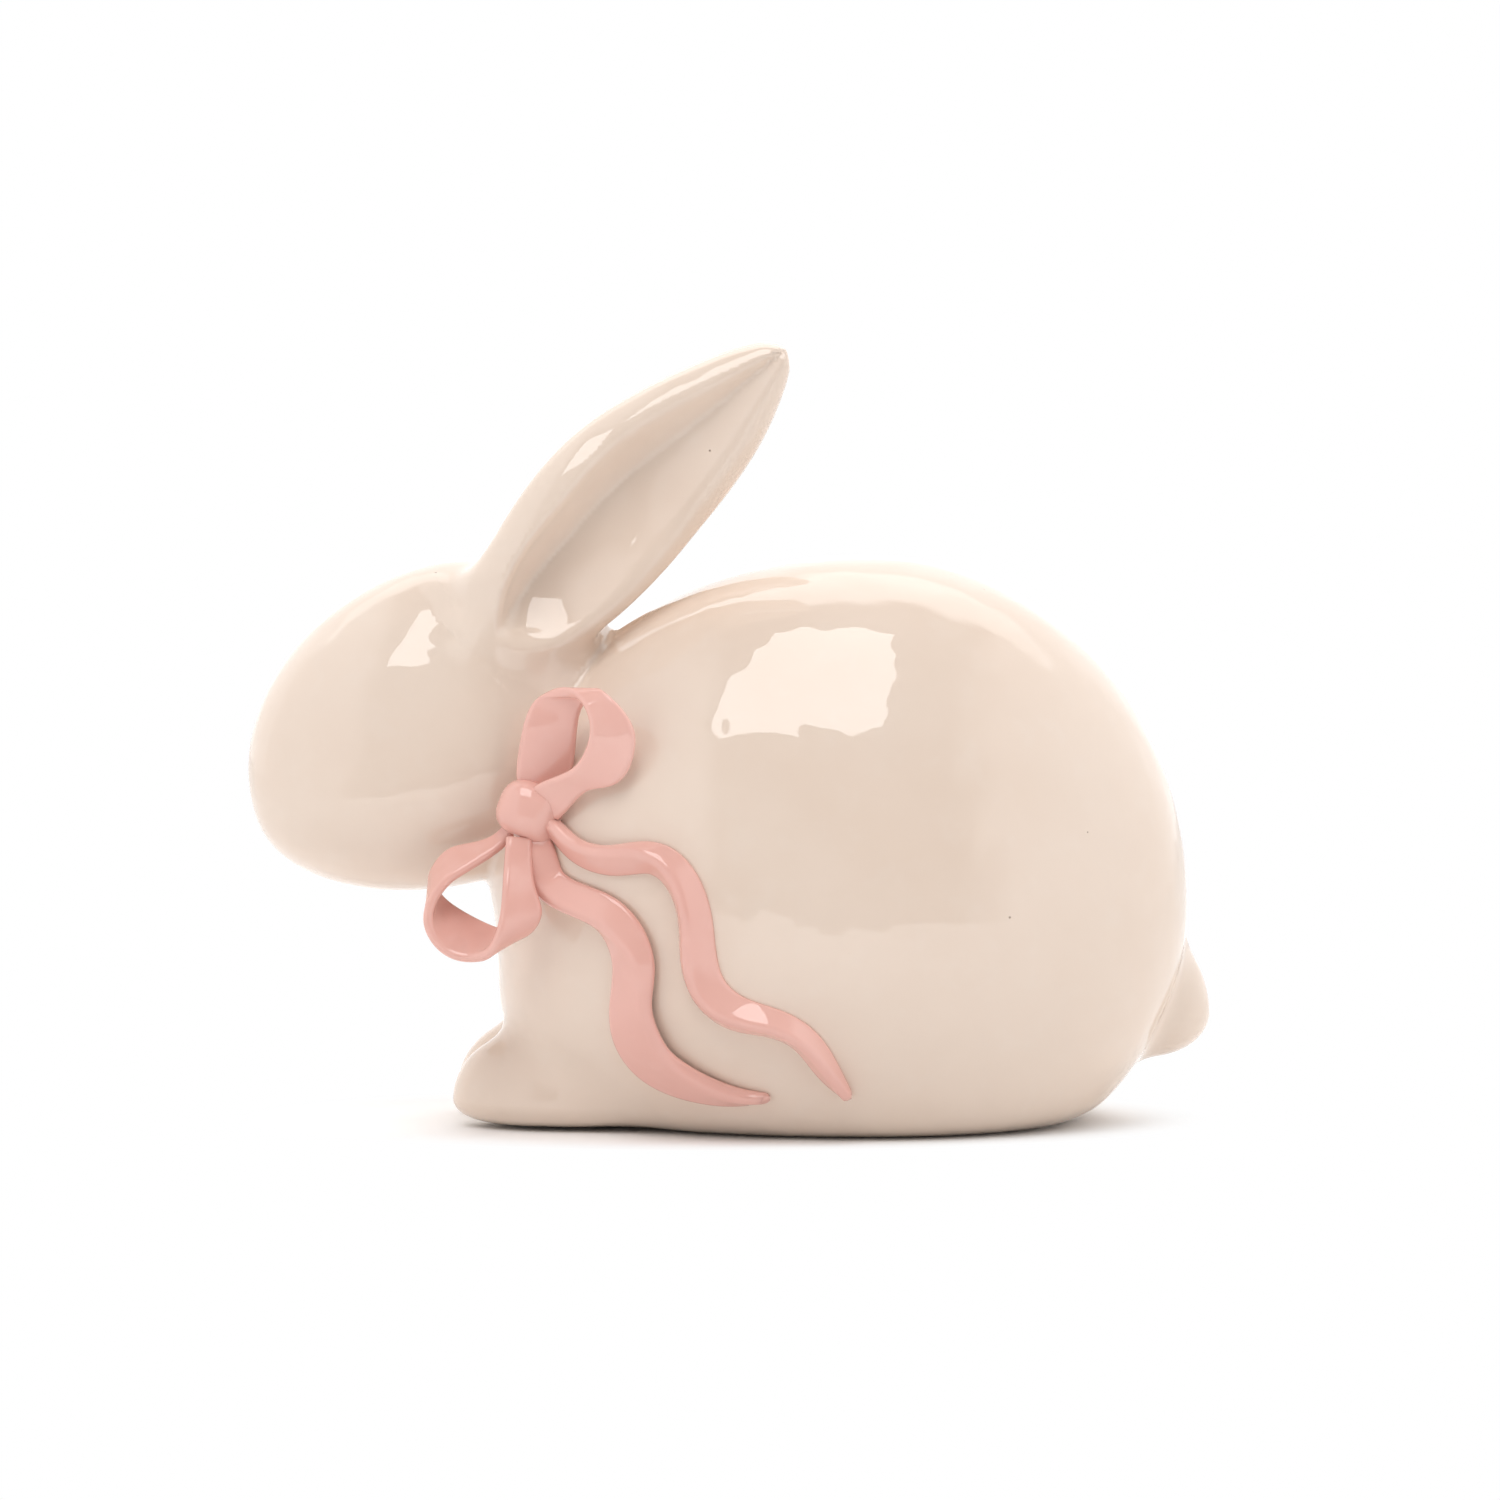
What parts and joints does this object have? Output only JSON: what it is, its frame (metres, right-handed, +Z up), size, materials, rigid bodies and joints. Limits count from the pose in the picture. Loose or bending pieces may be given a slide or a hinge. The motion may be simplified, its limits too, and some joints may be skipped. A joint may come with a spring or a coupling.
{
  "type": "bunny figurine",
  "caption": "Glossy ceramic sitting bunny with a smooth egg-shaped head and body, ears laid back and a looped clay ribbon bow on its neck, for display on a shelf",
  "frame": {"origin": "middle of the bounding box's base, in the plane of the foot", "axes": "-X is the way that the bunny looks, -Y is the side with the bow, +Z is up"},
  "size_m": [0.2156, 0.114, 0.1741],
  "materials": {
    "ivory_glaze": "glossy warm ivory glaze",
    "pink_glaze": "glossy soft pink glaze"
  },
  "bodies": {
    "root": {"body_shell": "ivory_glaze", "head_shell": "ivory_glaze", "ear_left": "ivory_glaze", "ear_right": "ivory_glaze", "forepaw_left": "ivory_glaze", "forepaw_right": "ivory_glaze", "tail": "ivory_glaze", "bow_knot": "pink_glaze", "bow_loop_upper": "pink_glaze", "bow_loop_lower": "pink_glaze", "bow_streamer_front": "pink_glaze", "bow_streamer_rear": "pink_glaze"}
  },
  "joints": []
}
